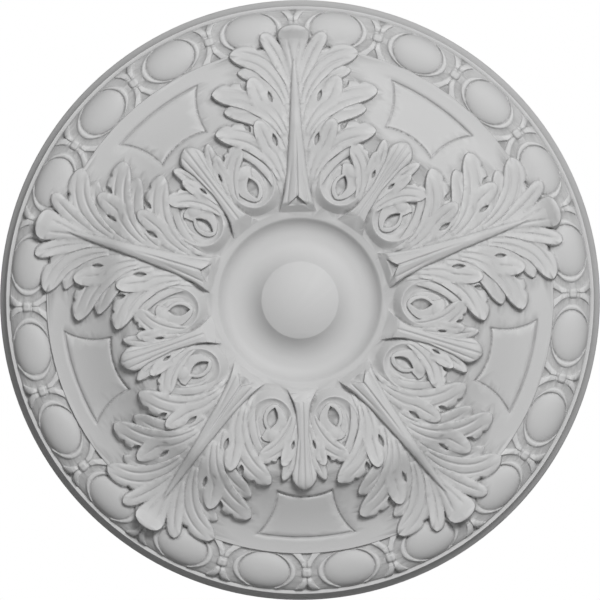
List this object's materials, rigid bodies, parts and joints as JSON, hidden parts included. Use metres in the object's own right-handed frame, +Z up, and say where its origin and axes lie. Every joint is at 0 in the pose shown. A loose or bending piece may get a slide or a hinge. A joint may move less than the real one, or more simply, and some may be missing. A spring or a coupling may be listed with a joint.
{
  "type": "ceiling rose",
  "caption": "Round ceiling rose with long and short acanthus leaves on a coved field, a cabochon rim, incised panels and a dished middle with a flat boss for a hanging light.",
  "frame": {"origin": "centre of the flat back, in the plane of the ceiling", "axes": "+Z up into the ceiling, so the carved face looks down along -Z; a long leaf points along -Y, which is the top of the picture; +X is the right of the picture"},
  "size_m": [0.508, 0.508, 0.054],
  "materials": {
    "white_primer": "matt white primer on a moulded casting"
  },
  "bodies": {
    "root": {"ceiling_rose": "white_primer"}
  },
  "joints": []
}
